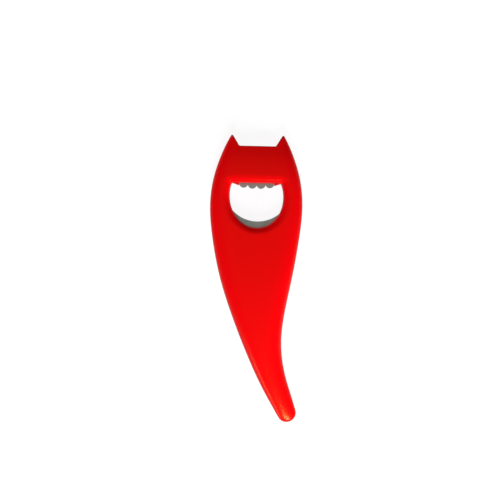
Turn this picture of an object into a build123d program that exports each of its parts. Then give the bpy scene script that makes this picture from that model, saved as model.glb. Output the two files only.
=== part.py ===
from build123d import *
import os
from collections import namedtuple
from math import atan2, cos, radians, sin

# Crown-cap opener: two moulded half shells closed around one stamped steel insert.
# All sizes are millimetres. The opener lies on its back: X runs across the head, +Y runs
# from the tail to the horns, and +Z points out of the front.

# Overall form
overall_length = 154.5  # horn tips to tail end
parting_height = 7.0  # resting face to the plane where the two halves meet
resting_trim = 0.4  # taken off the crowned back so that it rests flat
tail_radius = 5.1
tail_swing = 18.75
tail_rise = 3.5
tail_depth = 4.6
tail_droop = 0.25  # share of its height by which the tail's round end keeps falling

# Head stations from the horns down. A drop is measured below the horn tips. A swing is how
# far the middle line stands to the right. A rise is the front's height over the parting plane.
crown_drop = -1.8  # stock above the horn tips, which the notch trims away
crown_width = 25.6
crown_rise = 5.4
brow_drop = 11.2
brow_width = 38.8
brow_rise = 6.6
temple_drop = 22.2
temple_width = 45.9
temple_rise = 7.9
cheek_drop = 39.4
cheek_width = 49.8
cheek_rise = 8.0
jaw_drop = 57.2
jaw_width = 46.4
jaw_swing = 0.2
jaw_rise = 8.5

# Handle stations, spread evenly from the jaw to the tail
handle_span_count = 5
shoulder_width = 39.6
shoulder_swing = 0.85
shoulder_rise = 9.3
waist_width = 30.0
waist_swing = 2.3
waist_rise = 9.3
grip_width = 20.6
grip_swing = 5.1
grip_rise = 8.3
wrist_width = 14.5
wrist_swing = 10.6
wrist_rise = 6.5

# Fullness of the cross-sections: 0.55 is an ellipse, 1.0 is nearly square
front_fullness = 0.82  # at the head
back_fullness = 1.0  # at the head
tail_fullness = 0.56

# Notch between the horns
notch_depth = 6.5
notch_width = 19.6  # across its flat floor
horn_spread = 27.4  # between the horn tips
notch_corner_radius = 1.0
horn_edge_radius = 0.6

# Mouth: a slightly leaning ellipse with a flat top, through both halves
mouth_drop = 33.2  # centre of the ellipse
mouth_width = 29.0
mouth_ellipse_length = 34.2
mouth_lean = 6.0  # degrees
mouth_top_drop = 26.2
mouth_corner_radius = 1.0
mouth_front_radius = 4.2
mouth_back_radius = 2.5
mouth_wall_share = 0.43  # most of the plastic beside the mouth that its rounding may take
web_width = 3.6  # small webs in the mouth's upper corners, beside the teeth
web_depth = 1.3
web_thickness = 3.0  # in each half

# Steel insert
plate_thickness = 2.0
plate_width = 41.0  # of the ring around the mouth
plate_length = 43.0
plate_drop = 37.2  # centre of the ring
plate_setback = 1.0  # how far the ring stays hidden behind the mouth's walls
plate_clearance = 0.1  # around the insert in its pockets
tang_width = 11.0
tooth_count = 4
tooth_pitch = 4.7
tooth_radius = 2.45
tooth_tip_drop = 29.2  # of the lowest point of the teeth's common curve
tooth_curve_radius = 51.0
lip_radius = 18.3
lip_swing = 0.6
lip_drop = 46.8  # lowest point of the lip's curved edge

# Locating pins on the front half, through the insert and into sockets in the back half
pin_diameter = 3.2
pin_length = 4.0  # below the parting plane
pin_clearance = 0.1  # around a pin
socket_gap = 0.3  # past the end of a pin
forehead_pin_spread = 16.0
forehead_pin_drop = 21.0
chin_pin_spread = 17.0
chin_pin_drop = 53.8
boss_diameter = 7.0

# Hollow of the handle and its cross ribs
wall = 2.6
hollow_top_drop = 63.0
tail_solid_length = 16.5  # solid end of the tail, past the hollow
rib_count = 5
rib_thickness = 1.8
tang_rib_count = 2  # ribs that the tang crosses, with its pin on the last of them

# Shadow gap along the outside of the seam
seam_width = 0.3
seam_depth = 0.3

# Places that follow from the sizes above
half_length = overall_length / 2
back_depth = parting_height + resting_trim
tail_drop = overall_length - tail_radius
handle_step = (tail_drop - jaw_drop) / handle_span_count
hollow_end_drop = overall_length - tail_solid_length
rib_pitch = (hollow_end_drop - hollow_top_drop) / (rib_count + 1)
mouth_wall = (cheek_width - mouth_width) / 2
mouth_top = half_length - mouth_top_drop
notch_floor = half_length - notch_depth
tooth_strip_width = (tooth_count - 1) * tooth_pitch + 2 * tooth_radius
tail_end_angles = (65, 42, 22, 8)  # of the cross-sections of its round end, from its tip
lean_reach = 15.0  # stretch of the middle line over which its lean is taken
through = 40.0  # longer than the body is thick
upright = 0.99  # an edge steeper than this stands upright
slanting = Axis((0, 0, 0), (0.3, 0.9, 0.1))  # no two edges of a rim lie level along it

Station = namedtuple("Station", "drop width swing rise depth")
body = [
    Station(crown_drop, crown_width, 0.0, crown_rise, back_depth),
    Station(brow_drop, brow_width, 0.0, brow_rise, back_depth),
    Station(temple_drop, temple_width, 0.0, temple_rise, back_depth),
    Station(cheek_drop, cheek_width, 0.0, cheek_rise, back_depth),
    Station(jaw_drop, jaw_width, jaw_swing, jaw_rise, back_depth),
    Station(jaw_drop + handle_step, shoulder_width, shoulder_swing, shoulder_rise, back_depth),
    Station(jaw_drop + 2 * handle_step, waist_width, waist_swing, waist_rise, back_depth),
    Station(jaw_drop + 3 * handle_step, grip_width, grip_swing, grip_rise, back_depth),
    Station(jaw_drop + 4 * handle_step, wrist_width, wrist_swing, wrist_rise, back_depth),
    Station(tail_drop, 2 * tail_radius, tail_swing, tail_rise, tail_depth),
]


def body_at(drop):
    """The body at any drop, straight between its two nearest stations."""
    for upper, lower in zip(body, body[1:]):
        if drop <= lower.drop:
            share = (drop - upper.drop) / (lower.drop - upper.drop)
            return Station(*(a + (b - a) * share for a, b in zip(upper, lower)))
    return body[-1]


def lean_at(drop):
    """Lean of the middle line to the right."""
    above = body_at(max(drop - lean_reach, crown_drop))
    below = body_at(min(drop + lean_reach, tail_drop))
    return atan2(below.swing - above.swing, below.drop - above.drop)


def fullness_at(drop, head_fullness):
    """Fullness of the cross-section, fading from the head to the tail."""
    share = max(drop, 0.0) / tail_drop
    return head_fullness + (tail_fullness - head_fullness) * share**2


def section_plane(middle, lean):
    """Upright plane of a cross-section, square to the leaning middle line."""
    across = Vector(cos(lean), sin(lean), 0)
    return Plane(middle, x_dir=across, z_dir=across.cross(Vector(0, 0, 1)))


def half_section(middle, lean, half_width, height, fullness):
    """Half a cross-section that stands or hangs on the parting plane."""
    reach = fullness * half_width
    flank = fullness * height
    with BuildSketch(section_plane(middle, lean)) as section:
        with BuildLine():
            Bezier((-half_width, 0), (-half_width, flank), (-reach, height), (0, height))
            Bezier((0, height), (reach, height), (half_width, flank), (half_width, 0))
            Line((half_width, 0), (-half_width, 0))
        make_face()
    return section.sketch


def body_section(drop, front, inset=0.0):
    """Half a cross-section of the body, or of its hollow where there is an inset."""
    spot = body_at(drop)
    middle = Vector(spot.swing, half_length - drop, parting_height)
    if front:
        height = spot.rise - inset
        fullness = fullness_at(drop, front_fullness)
    else:
        height = inset - spot.depth
        fullness = fullness_at(drop, back_fullness)
    return half_section(middle, lean_at(drop), spot.width / 2 - inset, height, fullness)


def tail_sections(front, inset):
    """Half cross-sections of the tail's round end, which shrink towards its tip."""
    lean = lean_at(tail_drop)
    onward = Vector(sin(lean), -cos(lean), 0)
    centre = Vector(tail_swing, half_length - tail_drop, parting_height)
    radius = tail_radius - inset
    full_height = tail_rise - inset if front else inset - tail_depth
    sections = []
    for angle in tail_end_angles:
        reach = cos(radians(angle))
        share = sin(radians(angle))
        middle = centre + onward * radius * reach
        height = full_height * share * (1 - tail_droop * reach)
        sections.append(half_section(middle, lean, radius * share, height, tail_fullness))
    return sections


def outer_sections(front, inset=0.0):
    """Half cross-sections of the whole body, from the crown to the tip of the tail."""
    sections = [body_section(station.drop, front, inset) for station in body]
    return sections + tail_sections(front, inset)


def hollow_sections(front):
    """Half cross-sections of the hollow inside the handle."""
    between = [s.drop for s in body if hollow_top_drop < s.drop < hollow_end_drop]
    drops = [hollow_top_drop, *between, hollow_end_drop]
    return [body_section(drop, front, inset=wall) for drop in drops]


def rib_places():
    """Where the handle's cross ribs stand, on the middle line."""
    drops = [hollow_top_drop + (index + 1) * rib_pitch for index in range(rib_count)]
    return [(body_at(drop).swing, half_length - drop) for drop in drops]


def mouth_pin_places():
    """Where the four pins around the mouth stand."""
    forehead = half_length - forehead_pin_drop
    chin = half_length - chin_pin_drop
    return [
        (-forehead_pin_spread / 2, forehead),
        (forehead_pin_spread / 2, forehead),
        (-chin_pin_spread / 2, chin),
        (chin_pin_spread / 2, chin),
    ]


tang_pin_place = rib_places()[tang_rib_count - 1]
handle_pin_place = rib_places()[-1]
pin_places = [*mouth_pin_places(), tang_pin_place, handle_pin_place]


def notch_profile(grow=0.0):
    """Notch between the horns: a flat floor and two sloping sides."""
    slope = (horn_spread - notch_width) / 2 / notch_depth
    above = half_length - 2 * crown_drop
    floor = notch_floor - grow
    half_floor = notch_width / 2 + grow * (1 + slope**2) ** 0.5 - grow * slope
    half_top = half_floor + (above - floor) * slope
    with BuildSketch(Plane.XY.offset(parting_height)) as notch:
        with BuildLine():
            Polyline(
                (-half_top, above),
                (-half_floor, floor),
                (half_floor, floor),
                (half_top, above),
                close=True,
            )
        make_face()
        fillet(notch.vertices().group_by(Axis.Y)[0], notch_corner_radius)
    return notch.sketch


def flat_topped_ellipse(half_width, half_height, top):
    """Ellipse around the mouth's centre, cut off flat at its top."""
    with BuildSketch(Plane.XY.offset(parting_height)) as outline:
        with Locations((0, half_length - mouth_drop)):
            Ellipse(half_width, half_height, rotation=mouth_lean)
        with Locations((0, top)):
            Rectangle(
                4 * half_width, 4 * half_height, align=(Align.CENTER, Align.MAX), mode=Mode.INTERSECT
            )
    return outline.sketch


def mouth_profile():
    """Outline of the mouth."""
    with BuildSketch(Plane.XY.offset(parting_height)) as mouth:
        add(flat_topped_ellipse(mouth_width / 2, mouth_ellipse_length / 2, mouth_top))
        fillet(mouth.vertices().group_by(Axis.Y)[-1], mouth_corner_radius)
    return mouth.sketch


def web_profile():
    """Two small wedges in the mouth's upper corners, beside the teeth."""
    inner = tooth_strip_width / 2 + plate_clearance
    root = mouth_top + plate_setback / 2
    with BuildSketch(Plane.XY.offset(parting_height)) as web:
        with BuildLine():
            Polyline(
                (inner, root),
                (inner, mouth_top - web_depth),
                (inner + web_width, mouth_top),
                (inner + web_width, root),
                close=True,
            )
        make_face()
        mirror(about=Plane.YZ)
    return web.sketch


def insert_profile(grow):
    """The insert without its teeth and holes, or its pocket where it is grown by a clearance."""
    side = mouth_width / 2 + plate_setback - grow
    end = mouth_ellipse_length / 2 + plate_setback - grow
    ring_centre = Vector(0, half_length - plate_drop)
    tang_middle = (ring_centre + Vector(*tang_pin_place)) / 2
    with BuildSketch(Plane.XY.offset(parting_height)) as opening:
        add(flat_topped_ellipse(side, end, mouth_top + plate_setback - grow))
        with Locations((lip_swing, half_length - lip_drop + lip_radius)):
            Circle(lip_radius - grow, mode=Mode.INTERSECT)
    with BuildSketch(Plane.XY.offset(parting_height)) as profile:
        with Locations(ring_centre):
            Ellipse(plate_width / 2 + grow, plate_length / 2 + grow)
        SlotCenterPoint(tang_middle, tang_pin_place, tang_width + 2 * grow)
        add(opening.sketch, mode=Mode.SUBTRACT)
        with Locations((0, mouth_top)):
            Rectangle(tooth_strip_width + 2 * grow, 2 * plate_setback + 2 * grow)
    return profile.sketch


def rib_profile():
    """Ribs and bosses that stay standing in the hollow of the handle."""
    with BuildSketch(Plane.XY.offset(parting_height)) as ribs:
        with Locations(*rib_places()):
            Rectangle(cheek_width, rib_thickness)
        with Locations(tang_pin_place, handle_pin_place):
            Circle(boss_diameter / 2)
    return ribs.sketch


def pin_profile(level, grow=0.0):
    """Round outlines of all the pins, or of their sockets where they are grown."""
    with BuildSketch(Plane.XY.offset(level)) as pins:
        with Locations(*pin_places):
            Circle(pin_diameter / 2 + grow)
    return pins.sketch


def tooth_places():
    """Centres of the teeth, on a wide curve that hangs lowest in the middle."""
    lowest = half_length - tooth_tip_drop + tooth_radius
    places = []
    for index in range(tooth_count):
        x = (index - (tooth_count - 1) / 2) * tooth_pitch
        sag = tooth_curve_radius - (tooth_curve_radius**2 - x**2) ** 0.5
        places.append((x, lowest + sag))
    return places


# Hollow of each half of the handle
with BuildPart() as front_hollow:
    loft(hollow_sections(front=True))
    extrude(rib_profile(), amount=through, mode=Mode.SUBTRACT)

with BuildPart() as back_hollow:
    loft(hollow_sections(front=False))
    extrude(rib_profile(), amount=-through, mode=Mode.SUBTRACT)

# Shadow gap: a thin slab around a body that stands back from the outside
with BuildPart() as seam_core:
    loft(outer_sections(front=False, inset=seam_width))
    extrude(notch_profile(seam_width), amount=-through, mode=Mode.SUBTRACT)

with BuildPart() as seam_gap:
    with BuildSketch(Plane.XY.offset(parting_height)):
        Rectangle(2 * cheek_width, 2 * overall_length)
    extrude(amount=-seam_depth)
    add(seam_core.part, mode=Mode.SUBTRACT)

# Front half of the body
with BuildPart() as front_shell:
    loft(outer_sections(front=True))
    extrude(notch_profile(), amount=through, mode=Mode.SUBTRACT)
    horn_edges = front_shell.edges(Select.LAST).filter_by(
        lambda edge: edge.center().Z > parting_height + seam_depth
        and edge.center().Y > notch_floor - notch_corner_radius
        and abs(edge.tangent_at(0.5).Z) < upright
    )
    fillet(horn_edges.sort_by(slanting), horn_edge_radius)
    extrude(mouth_profile(), amount=through, mode=Mode.SUBTRACT)
    rim_edges = front_shell.edges(Select.LAST).filter_by(
        lambda edge: edge.bounding_box().min.Z > parting_height + plate_thickness
    )
    fillet(rim_edges.sort_by(slanting), min(mouth_front_radius, mouth_wall * mouth_wall_share))
    extrude(web_profile(), amount=web_thickness)
    add(front_hollow.part, mode=Mode.SUBTRACT)
    extrude(insert_profile(plate_clearance), amount=plate_thickness / 2, mode=Mode.SUBTRACT)
    extrude(pin_profile(parting_height - pin_length), amount=pin_length + plate_thickness)

# Back half of the body
with BuildPart() as back_shell:
    loft(outer_sections(front=False))
    split(bisect_by=Plane.XY, keep=Keep.TOP)
    extrude(notch_profile(), amount=-through, mode=Mode.SUBTRACT)
    back_edges = back_shell.edges(Select.LAST).filter_by(
        lambda edge: edge.center().Z < parting_height - seam_depth
        and abs(edge.tangent_at(0.5).Z) < upright
    )
    fillet(back_edges.sort_by(slanting), horn_edge_radius)
    add(seam_gap.part, mode=Mode.SUBTRACT)
    extrude(mouth_profile(), amount=-through, mode=Mode.SUBTRACT)
    rim_edges = back_shell.edges(Select.LAST).filter_by(
        lambda edge: edge.bounding_box().max.Z < parting_height - plate_thickness
    )
    fillet(rim_edges.sort_by(slanting), min(mouth_back_radius, mouth_wall * mouth_wall_share))
    extrude(web_profile(), amount=-web_thickness)
    add(back_hollow.part, mode=Mode.SUBTRACT)
    extrude(insert_profile(plate_clearance), amount=-plate_thickness / 2, mode=Mode.SUBTRACT)
    extrude(
        pin_profile(parting_height, pin_clearance),
        amount=-pin_length - socket_gap,
        mode=Mode.SUBTRACT,
    )

# Stamped steel insert with its teeth and lifting lip
with BuildPart() as steel_insert:
    extrude(insert_profile(0.0), amount=plate_thickness / 2, both=True)
    with BuildSketch(Plane.XY.offset(parting_height)):
        with Locations(*tooth_places()):
            Circle(tooth_radius)
    extrude(amount=plate_thickness / 2, both=True)
    with BuildSketch(Plane.XY.offset(parting_height)):
        with Locations(*mouth_pin_places(), tang_pin_place):
            Circle(pin_diameter / 2 + pin_clearance)
    extrude(amount=plate_thickness, both=True, mode=Mode.SUBTRACT)

os.makedirs("parts", exist_ok=True)
front_shell.part.label = "front_shell"
export_step(front_shell.part, "parts/front_shell.step")
back_shell.part.label = "back_shell"
export_step(back_shell.part, "parts/back_shell.step")
steel_insert.part.label = "steel_insert"
export_step(steel_insert.part, "parts/steel_insert.step")
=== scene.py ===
"""Looks of the crown-cap opener: moulded red plastic shells and a stamped steel insert."""

from math import cos, radians, sin

import bpy
from bpy.props import FloatProperty, FloatVectorProperty, PointerProperty
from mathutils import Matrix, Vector

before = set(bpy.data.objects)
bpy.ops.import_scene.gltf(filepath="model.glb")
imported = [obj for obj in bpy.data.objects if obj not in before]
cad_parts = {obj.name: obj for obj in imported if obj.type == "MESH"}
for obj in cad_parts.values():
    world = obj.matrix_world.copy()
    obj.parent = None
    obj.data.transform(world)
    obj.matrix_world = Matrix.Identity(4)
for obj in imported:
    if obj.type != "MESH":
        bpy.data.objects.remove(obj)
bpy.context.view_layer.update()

bl_info = {
    "name": "Crown-cap opener",
    "version": (1, 0, 0),
    "blender": (4, 5, 0),
    "location": "3D View > Sidebar > Opener",
    "description": "Gives the opener's shells and insert their finish, and sets up the studio",
    "category": "Object",
}

SHELL_NODES = ("front_shell", "back_shell")
INSERT_NODE = "steel_insert"


def color_property(name, description, default):
    """A colour swatch for a property group."""
    return FloatVectorProperty(
        name=name,
        description=description,
        subtype="COLOR",
        size=3,
        min=0.0,
        max=1.0,
        default=default,
    )


def share_property(name, description, default):
    """A value from 0 to 1 for a property group."""
    return FloatProperty(
        name=name, description=description, subtype="FACTOR", min=0.0, max=1.0, default=default
    )


def length_property(name, description, default):
    """A length in metres for a property group."""
    return FloatProperty(
        name=name, description=description, unit="LENGTH", min=0.0, precision=5, default=default
    )


class OpenerPlasticSettings(bpy.types.PropertyGroup):
    """Finish of the two moulded shells"""

    body_color: color_property("Body red", "Colour of the dyed plastic", (0.8, 0.001, 0.003))
    streak_color: color_property(
        "Streak red", "Colour of the denser dye streaks", (0.78, 0.001, 0.0028)
    )
    rub_color: color_property(
        "Rubbed edge", "Colour of the plastic where its edges are rubbed", (0.84, 0.012, 0.008)
    )
    gloss_tint: color_property(
        "Gloss tint", "Tint of reflections seen straight on", (1.0, 0.55, 0.1)
    )
    gloss: share_property("Gloss level", "Strength of reflections", 0.16)
    roughness: share_property("Gloss roughness", "Blur of reflections", 0.3)
    peel_size: length_property("Orange peel size", "Width of the skin's faint ripples", 0.0018)
    peel_depth: length_property(
        "Orange peel depth", "Height of the skin's faint ripples", 0.0000008
    )
    scuff_size: length_property("Scuff size", "Spacing of the fine handling marks", 0.005)
    rub_width: length_property("Rub width", "Width of the rubbed edges", 0.0006)


class OpenerSteelSettings(bpy.types.PropertyGroup):
    """Finish of the stamped insert"""

    steel_color: color_property("Steel", "Colour of the plain steel", (0.58, 0.66, 0.59))
    mill_color: color_property(
        "Mill skin", "Colour of the rolled skin's darker patches", (0.48, 0.56, 0.49)
    )
    cut_color: color_property("Cut face", "Colour of the sheared edges", (0.3, 0.29, 0.28))
    roughness: share_property("Steel roughness", "Blur of the sheen", 0.45)
    grain_size: length_property("Grain size", "Width of the rolling grain", 0.0002)
    grain_depth: length_property("Grain depth", "Depth of the rolling grain", 0.000006)
    shear_size: length_property(
        "Shear mark size", "Width of the upright marks on the sheared edges", 0.00012
    )
    scuff_size: length_property("Scuff size", "Spacing of the fine handling marks", 0.002)
    rub_width: length_property("Rub width", "Width of the bright edges", 0.00035)


class OpenerStageSettings(bpy.types.PropertyGroup):
    """Camera, floor and lamps"""

    floor_color: color_property("Floor", "Colour of the pale floor", (0.15, 0.15, 0.15))
    floor_glow: share_property("Floor glow", "Whiteness that the floor shows by itself", 0.92)
    mirrored_share: share_property(
        "Mirrored share", "How much of the glow shows in reflections", 0.4
    )
    fill: FloatProperty(
        name="Fill", description="Strength of the even fill light", min=0.0, default=0.06
    )
    lens: FloatProperty(
        name="Lens", description="Focal length in millimetres", min=10.0, default=100.0
    )
    roll: FloatProperty(
        name="Roll", description="Turn of the camera", subtype="ANGLE", default=radians(1.3)
    )
    view_width: length_property("View width", "Width seen at the parting plane", 0.2706)


def new_node(tree, kind, inputs=None, **settings):
    """A node with its settings, and with its inputs set or linked by name or number."""
    node = tree.nodes.new(kind)
    for name, value in settings.items():
        setattr(node, name, value)
    for name, value in (inputs or {}).items():
        socket = node.inputs[name]
        if isinstance(value, bpy.types.NodeSocket):
            tree.links.new(value, socket)
        else:
            socket.default_value = value
    return node


def math_node(tree, operation, *values):
    """The result of a sum on numbers or sockets."""
    inputs = dict(enumerate(values))
    return new_node(tree, "ShaderNodeMath", inputs, operation=operation).outputs[0]


def spread(tree, value, low, high, to_low=0.0, to_high=1.0):
    """A value spread from one span to another, and held inside it."""
    inputs = {
        "Value": value,
        "From Min": low,
        "From Max": high,
        "To Min": to_low,
        "To Max": to_high,
    }
    return new_node(tree, "ShaderNodeMapRange", inputs).outputs[0]


def noise(tree, place, scale, detail=2.0, roughness=0.5, distortion=0.0):
    """Soft noise at a place."""
    inputs = {
        "Vector": place,
        "Scale": scale,
        "Detail": detail,
        "Roughness": roughness,
        "Distortion": distortion,
    }
    return new_node(tree, "ShaderNodeTexNoise", inputs).outputs[0]


def stretched(tree, place, scale, turn=0.0):
    """A place turned about the upright axis and stretched along some axes."""
    inputs = {"Vector": place, "Rotation": (0.0, 0.0, turn), "Scale": scale}
    return new_node(tree, "ShaderNodeMapping", inputs).outputs[0]


def mixed(tree, share, first, second):
    """A colour between two colours."""
    inputs = {"Fac": share}
    for name, color in (("Color1", first), ("Color2", second)):
        inputs[name] = color if isinstance(color, bpy.types.NodeSocket) else (*color, 1.0)
    return new_node(tree, "ShaderNodeMixRGB", inputs).outputs[0]


def surface_normal(tree):
    """The direction that the surface faces."""
    return new_node(tree, "ShaderNodeNewGeometry").outputs["Normal"]


def start_group(name, inputs, outputs):
    """A new shader node group: its tree, what it is given and what it puts out."""
    tree = bpy.data.node_groups.new(name, "ShaderNodeTree")
    for label, kind in inputs.items():
        tree.interface.new_socket(label, in_out="INPUT", socket_type=kind)
    for label in outputs:
        tree.interface.new_socket(label, in_out="OUTPUT", socket_type="NodeSocketFloat")
    given = tree.nodes.new("NodeGroupInput").outputs
    return tree, given, tree.nodes.new("NodeGroupOutput").inputs


# Handling marks: how much finer the hairlines are than the smudges, the turn in radians and
# the stretch of each run of hairlines, and the span of the noise that turns into a line
SCUFFS = "handling_scuffs"
HAIRLINE_FINENESS = 12.0
HAIRLINE_RUNS = ((0.5, 0.035), (2.2, 0.05))
HAIRLINE_SPAN = (0.66, 0.72)


def scuff_group():
    """Handling marks: soft smudges, and hairlines in two directions that come and go."""
    tree, given, result = start_group(
        SCUFFS,
        {"Place": "NodeSocketVector", "Size": "NodeSocketFloat"},
        ("Smudge", "Hairline"),
    )
    scale = math_node(tree, "DIVIDE", 1.0, given["Size"])
    smudge = noise(tree, given["Place"], scale, detail=3.0, roughness=0.55)
    fine = math_node(tree, "MULTIPLY", scale, HAIRLINE_FINENESS)
    lines = []
    for turn, stretch in HAIRLINE_RUNS:
        run = stretched(tree, given["Place"], (stretch, 1.0, 1.0), turn)
        streaks = noise(tree, run, fine, detail=1.0, distortion=0.4)
        lines.append(spread(tree, streaks, *HAIRLINE_SPAN))
    hairline = math_node(tree, "MULTIPLY", math_node(tree, "MAXIMUM", *lines), smudge)
    tree.links.new(smudge, result["Smudge"])
    tree.links.new(hairline, result["Hairline"])
    return tree


# Rubbed edges: the cosines of the turn where rubbing starts and where it is full, and the size
# of its patches (in patches to the metre), their span of the noise and how rubbed they get
RUBS = "rubbed_edges"
RUB_SAMPLES = 6
RUB_TURN = (0.995, 0.8)
RUB_PATCHES = 700.0
RUB_PATCH_SPAN = (0.35, 0.65)
RUB_PATCH_SHARE = (0.3, 1.0)


def rub_group():
    """Rubbed edges: a patchy mask where the surface turns sharply within a width."""
    tree, given, result = start_group(
        RUBS,
        {"Place": "NodeSocketVector", "Width": "NodeSocketFloat"},
        ("Mask",),
    )
    rounded = new_node(tree, "ShaderNodeBevel", {"Radius": given["Width"]}, samples=RUB_SAMPLES)
    along = new_node(
        tree,
        "ShaderNodeVectorMath",
        {0: rounded.outputs[0], 1: surface_normal(tree)},
        operation="DOT_PRODUCT",
    )
    turned = spread(tree, along.outputs["Value"], *RUB_TURN)
    blotches = noise(tree, given["Place"], RUB_PATCHES, detail=3.0)
    patches = spread(tree, blotches, *RUB_PATCH_SPAN, *RUB_PATCH_SHARE)
    tree.links.new(math_node(tree, "MULTIPLY", turned, patches), result["Mask"])
    return tree


def place_group(tree, name, make, **inputs):
    """The outputs of a node group placed in a material. The group is built once."""
    group = bpy.data.node_groups.get(name) or make()
    return new_node(tree, "ShaderNodeGroup", inputs, node_tree=group).outputs


def handling(tree, place, settings):
    """Smudges, hairlines and rubbed edges of one finish."""
    scuffs = place_group(tree, SCUFFS, scuff_group, Place=place, Size=settings.scuff_size)
    rub = place_group(tree, RUBS, rub_group, Place=place, Width=settings.rub_width)
    return scuffs["Smudge"], scuffs["Hairline"], rub["Mask"]


def start_material(name):
    """An empty material and its tree."""
    material = bpy.data.materials.new(name)
    material.use_nodes = True
    material.node_tree.nodes.clear()
    return material, material.node_tree


def object_place(tree):
    """The place on the object in metres."""
    return new_node(tree, "ShaderNodeTexCoord").outputs["Object"]


def finish_material(tree, shader):
    """Links a shader to the material's output."""
    new_node(tree, "ShaderNodeOutputMaterial", {"Surface": shader.outputs[0]})


# Plastic: the stretch, the scale (to the metre) and the noise span of the dye streaks, how much
# of the rubbed colour shows, the noise span of the smudges, and how far each kind of mark
# changes the roughness
DYE_FLOW = (1.0, 0.3, 1.0)
DYE_SCALE = 60.0
DYE_SPAN = (0.2, 0.8)
PLASTIC_RUB_SHARE = 0.25
PLASTIC_SMUDGE_SPAN = (0.2, 0.8)
PLASTIC_SMUDGE_BLUR = 0.02
PLASTIC_HAIRLINE_BLUR = 0.012
PLASTIC_RUB_BLUR = 0.012
PLASTIC_IOR = 1.5


def plastic_material(settings):
    """Glossy moulded plastic: dye streaks, faint orange peel and light handling marks."""
    material, tree = start_material("gloss_red_plastic")
    place = object_place(tree)
    smudge, hairline, rub = handling(tree, place, settings)

    flow = stretched(tree, place, DYE_FLOW)
    dye = noise(tree, flow, DYE_SCALE, detail=4.0, roughness=0.6, distortion=0.6)
    streaks = spread(tree, dye, *DYE_SPAN)
    dyed = mixed(tree, streaks, settings.body_color, settings.streak_color)
    rubbed = math_node(tree, "MULTIPLY", rub, PLASTIC_RUB_SHARE)
    color = mixed(tree, rubbed, dyed, settings.rub_color)

    sharpest = settings.roughness - PLASTIC_SMUDGE_BLUR
    dullest = settings.roughness + PLASTIC_SMUDGE_BLUR
    smeared = spread(tree, smudge, *PLASTIC_SMUDGE_SPAN, sharpest, dullest)
    scratched = math_node(tree, "MULTIPLY_ADD", hairline, PLASTIC_HAIRLINE_BLUR, smeared)
    rough = math_node(tree, "MULTIPLY_ADD", rub, PLASTIC_RUB_BLUR, scratched)

    peel = noise(tree, place, 1.0 / settings.peel_size, roughness=0.4)
    skin = new_node(tree, "ShaderNodeBump", {"Distance": settings.peel_depth, "Height": peel})
    shader = new_node(
        tree,
        "ShaderNodeBsdfPrincipled",
        {
            "Base Color": color,
            "Roughness": rough,
            "IOR": PLASTIC_IOR,
            "Specular IOR Level": settings.gloss,
            "Specular Tint": (*settings.gloss_tint, 1.0),
            "Normal": skin.outputs[0],
        },
    )
    finish_material(tree, shader)
    return material


# Steel: how upright a face is where it starts to count as cut and where it fully does, the
# stretch of the grain and of the shear marks, the scale (to the metre), noise span and metallic
# share of the mill skin's patches, how much of the cut and rubbed colours shows, the noise span
# of the relief, and how far each kind of mark changes the roughness
CUT_SLOPE = (0.7, 0.3)
GRAIN_RUN = (0.04, 1.0, 1.0)
SHEAR_RUN = (1.0, 1.0, 0.06)
MILL_SCALE = 220.0
MILL_SPAN = (0.35, 0.7)
MILL_METALLIC = (0.98, 0.86)
STEEL_CUT_SHARE = 0.8
STEEL_RUB_SHARE = 0.5
STEEL_RELIEF_SPAN = (0.3, 0.7)
STEEL_RELIEF_BLUR = 0.07
STEEL_SMUDGE_BLUR = 0.08
STEEL_HAIRLINE_BLUR = -0.1
STEEL_RUB_BLUR = -0.12


def steel_material(settings):
    """Plain stamped steel: rolling grain on its faces, upright shear marks on its cut edges."""
    material, tree = start_material("stamped_steel")
    place = object_place(tree)
    smudge, hairline, rub = handling(tree, place, settings)
    upward = new_node(tree, "ShaderNodeSeparateXYZ", {0: surface_normal(tree)}).outputs["Z"]
    cut = spread(tree, math_node(tree, "ABSOLUTE", upward), *CUT_SLOPE)

    rolled = stretched(tree, place, GRAIN_RUN)
    grain = noise(tree, rolled, 1.0 / settings.grain_size, detail=3.0, roughness=0.6)
    upright = stretched(tree, place, SHEAR_RUN)
    shear = noise(tree, upright, 1.0 / settings.shear_size, roughness=0.6)
    patches = spread(tree, noise(tree, place, MILL_SCALE, detail=3.0), *MILL_SPAN)
    skin = mixed(tree, patches, settings.steel_color, settings.mill_color)
    cut_share = math_node(tree, "MULTIPLY", cut, STEEL_CUT_SHARE)
    sheared = mixed(tree, cut_share, skin, settings.cut_color)
    rub_share = math_node(tree, "MULTIPLY", rub, STEEL_RUB_SHARE)
    color = mixed(tree, rub_share, sheared, settings.steel_color)
    film = spread(tree, patches, 0.0, 1.0, *MILL_METALLIC)

    relief = new_node(tree, "ShaderNodeMix", {"Factor": cut, "A": grain, "B": shear}).outputs[0]
    sharpest = settings.roughness - STEEL_RELIEF_BLUR
    dullest = settings.roughness + STEEL_RELIEF_BLUR
    brushed = spread(tree, relief, *STEEL_RELIEF_SPAN, sharpest, dullest)
    smeared = math_node(tree, "MULTIPLY_ADD", smudge, STEEL_SMUDGE_BLUR, brushed)
    scratched = math_node(tree, "MULTIPLY_ADD", hairline, STEEL_HAIRLINE_BLUR, smeared)
    rough = math_node(tree, "MULTIPLY_ADD", rub, STEEL_RUB_BLUR, scratched)
    bump = new_node(tree, "ShaderNodeBump", {"Distance": settings.grain_depth, "Height": relief})
    shader = new_node(
        tree,
        "ShaderNodeBsdfPrincipled",
        {"Base Color": color, "Metallic": film, "Roughness": rough, "Normal": bump.outputs[0]},
    )
    finish_material(tree, shader)
    return material


def dress(node, material):
    """Gives a CAD piece its material."""
    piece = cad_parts[node]
    piece.data.materials.clear()
    piece.data.materials.append(material)


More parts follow.
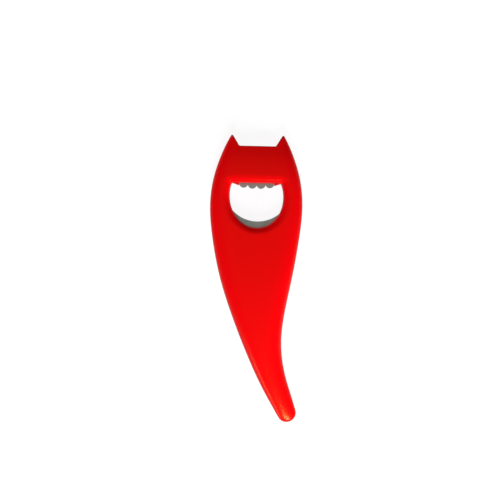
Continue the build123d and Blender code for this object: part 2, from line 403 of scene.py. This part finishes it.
class OPENER_OT_mould_shells(bpy.types.Operator):
    """Give both half shells their glossy moulded plastic"""

    bl_idname = "opener.mould_shells"
    bl_label = "Mould shells"

    def execute(self, context):
        material = plastic_material(context.scene.opener_plastic)
        for node in SHELL_NODES:
            dress(node, material)
        return {"FINISHED"}


class OPENER_OT_stamp_insert(bpy.types.Operator):
    """Give the insert its stamped steel"""

    bl_idname = "opener.stamp_insert"
    bl_label = "Stamp insert"

    def execute(self, context):
        dress(INSERT_NODE, steel_material(context.scene.opener_steel))
        return {"FINISHED"}


BODY_MIDDLE = Vector((0.0, 0.0, 0.008))
TAIL_TIP = Vector((0.0187, -0.072, 0.008))

# Lamps that only light surfaces. They share a target, a distance, a width and a wide beam.
WASHES = {
    "tail_top": dict(azimuth=-90.0, elevation=58.0, height=0.1, power=0.9),
    "tail_wash": dict(azimuth=-90.0, elevation=30.0, height=0.1, power=0.86),
    "right_wash": dict(azimuth=-45.0, elevation=30.0, height=0.1, power=0.55),
    "right_low": dict(azimuth=-14.0, elevation=8.0, height=0.06, power=0.85),
    "left_low": dict(azimuth=190.0, elevation=8.0, height=0.06, power=0.35),
    "crown_low": dict(azimuth=138.0, elevation=8.0, height=0.06, power=0.55),
}
WASH_DISTANCE = 0.42
WASH_WIDTH = 0.1
WIDE_BEAM = 180.0

# Lamps that only show in reflections
SHEENS = {
    "tail_sheen": dict(
        target=TAIL_TIP,
        azimuth=-88.0,
        elevation=37.0,
        distance=0.08,
        width=0.08,
        height=0.04,
        beam=36.0,
        power=0.03,
    ),
    "edge_sheen": dict(
        target=TAIL_TIP,
        azimuth=216.0,
        elevation=4.0,
        distance=0.25,
        width=0.12,
        height=0.03,
        beam=WIDE_BEAM,
        power=0.2,
    ),
    "tail_glint": dict(
        target=TAIL_TIP,
        azimuth=-74.0,
        elevation=18.0,
        distance=0.1,
        width=0.028,
        height=0.028,
        beam=42.0,
        power=0.009,
    ),
    "top_sheen": dict(
        target=BODY_MIDDLE,
        azimuth=0.0,
        elevation=90.0,
        distance=1.0,
        width=1.2,
        height=1.2,
        beam=WIDE_BEAM,
        power=1.7,
    ),
}


def add_lamp(name, target, azimuth, elevation, distance, width, height, beam, power):
    """A soft lamp that faces its target: angles in degrees, lengths in metres, power in watts.

    Azimuth is counted from +X towards +Y, and elevation from the floor upwards.
    """
    turn, lift = radians(azimuth), radians(elevation)
    outward = Vector((cos(turn) * cos(lift), sin(turn) * cos(lift), sin(lift)))
    data = bpy.data.lights.new(name, "AREA")
    data.shape = "RECTANGLE"
    data.size = width
    data.size_y = height
    data.spread = radians(beam)
    data.energy = power
    lamp = bpy.data.objects.new(name, data)
    lamp.location = target + outward * distance
    lamp.rotation_euler = (-outward).to_track_quat("-Z", "Y").to_euler()
    bpy.context.scene.collection.objects.link(lamp)
    return lamp


def add_lamps():
    """Every wash, then every sheen."""
    for name, wash in WASHES.items():
        lamp = add_lamp(
            name,
            target=BODY_MIDDLE,
            distance=WASH_DISTANCE,
            width=WASH_WIDTH,
            beam=WIDE_BEAM,
            **wash,
        )
        lamp.visible_glossy = False
    for name, sheen in SHEENS.items():
        add_lamp(name, **sheen).visible_diffuse = False


WHITE = (1.0, 1.0, 1.0, 1.0)
FLOOR_SIZE = 6.0
FLOOR_ROUGHNESS = 0.9
FLOOR_GLOSS = 0.1


def floor_material(settings):
    """Pale floor that shows nearly white by itself and keeps the opener's shadow."""
    material, tree = start_material("pale_floor")
    rays = new_node(tree, "ShaderNodeLightPath").outputs
    seen = math_node(tree, "MAXIMUM", rays["Is Camera Ray"], rays["Is Transmission Ray"])
    mirrored = math_node(tree, "MULTIPLY", rays["Is Glossy Ray"], settings.mirrored_share)
    shown = math_node(tree, "MAXIMUM", seen, mirrored)
    shader = new_node(
        tree,
        "ShaderNodeBsdfPrincipled",
        {
            "Base Color": (*settings.floor_color, 1.0),
            "Roughness": FLOOR_ROUGHNESS,
            "Specular IOR Level": FLOOR_GLOSS,
            "Emission Color": WHITE,
            "Emission Strength": math_node(tree, "MULTIPLY", shown, settings.floor_glow),
        },
    )
    finish_material(tree, shader)
    return material


def studio_world(settings):
    """A world that the camera sees as white, and that otherwise gives an even fill."""
    world = bpy.data.worlds.new("studio")
    world.use_nodes = True
    sky = world.node_tree
    seen = new_node(sky, "ShaderNodeLightPath").outputs["Is Camera Ray"]
    background = sky.nodes["Background"].inputs
    background["Color"].default_value = WHITE
    sky.links.new(math_node(sky, "MAXIMUM", seen, settings.fill), background["Strength"])
    return world


# The point in the middle of the picture, on the parting plane in metres, and the width of the
# camera's sensor in millimetres
VIEW_CENTRE = Vector((-0.00227, 0.01446, 0.007))
SENSOR_WIDTH = 36.0


def overhead_camera(settings):
    """A camera that looks straight down and sees the view's width at the parting plane."""
    camera = bpy.data.objects.new("camera", bpy.data.cameras.new("camera"))
    camera.data.sensor_width = SENSOR_WIDTH
    camera.data.lens = settings.lens
    height = settings.view_width * settings.lens / SENSOR_WIDTH
    camera.location = VIEW_CENTRE + Vector((0.0, 0.0, height))
    camera.rotation_euler = (0.0, 0.0, settings.roll)
    return camera


class OPENER_OT_set_stage(bpy.types.Operator):
    """Set up the floor, the lamps and the camera straight above"""

    bl_idname = "opener.set_stage"
    bl_label = "Set stage"

    def execute(self, context):
        scene = context.scene
        settings = scene.opener_stage
        bpy.ops.mesh.primitive_plane_add(size=FLOOR_SIZE)
        floor = context.object
        floor.name = "floor"
        floor.data.materials.append(floor_material(settings))

        add_lamps()
        scene.world = studio_world(settings)
        camera = overhead_camera(settings)
        scene.collection.objects.link(camera)
        scene.camera = camera
        scene.view_settings.view_transform = "Standard"
        return {"FINISHED"}


class OPENER_PT_workshop(bpy.types.Panel):
    """Settings and steps of the opener"""

    bl_label = "Crown-cap opener"
    bl_space_type = "VIEW_3D"
    bl_region_type = "UI"
    bl_category = "Opener"

    def draw(self, context):
        steps = (
            (context.scene.opener_plastic, OPENER_OT_mould_shells),
            (context.scene.opener_steel, OPENER_OT_stamp_insert),
            (context.scene.opener_stage, OPENER_OT_set_stage),
        )
        for settings, operator in steps:
            box = self.layout.box()
            for name in type(settings).__annotations__:
                box.prop(settings, name)
            box.operator(operator.bl_idname)


SETTINGS = {
    "opener_plastic": OpenerPlasticSettings,
    "opener_steel": OpenerSteelSettings,
    "opener_stage": OpenerStageSettings,
}
CLASSES = (
    *SETTINGS.values(),
    OPENER_OT_mould_shells,
    OPENER_OT_stamp_insert,
    OPENER_OT_set_stage,
    OPENER_PT_workshop,
)


def register():
    for cls in CLASSES:
        bpy.utils.register_class(cls)
    for name, cls in SETTINGS.items():
        setattr(bpy.types.Scene, name, PointerProperty(type=cls))


def unregister():
    for name in SETTINGS:
        delattr(bpy.types.Scene, name)
    for cls in reversed(CLASSES):
        bpy.utils.unregister_class(cls)


def main():
    register()
    bpy.ops.opener.mould_shells()
    bpy.ops.opener.stamp_insert()
    bpy.ops.opener.set_stage()


if __name__ == "__main__":
    main()
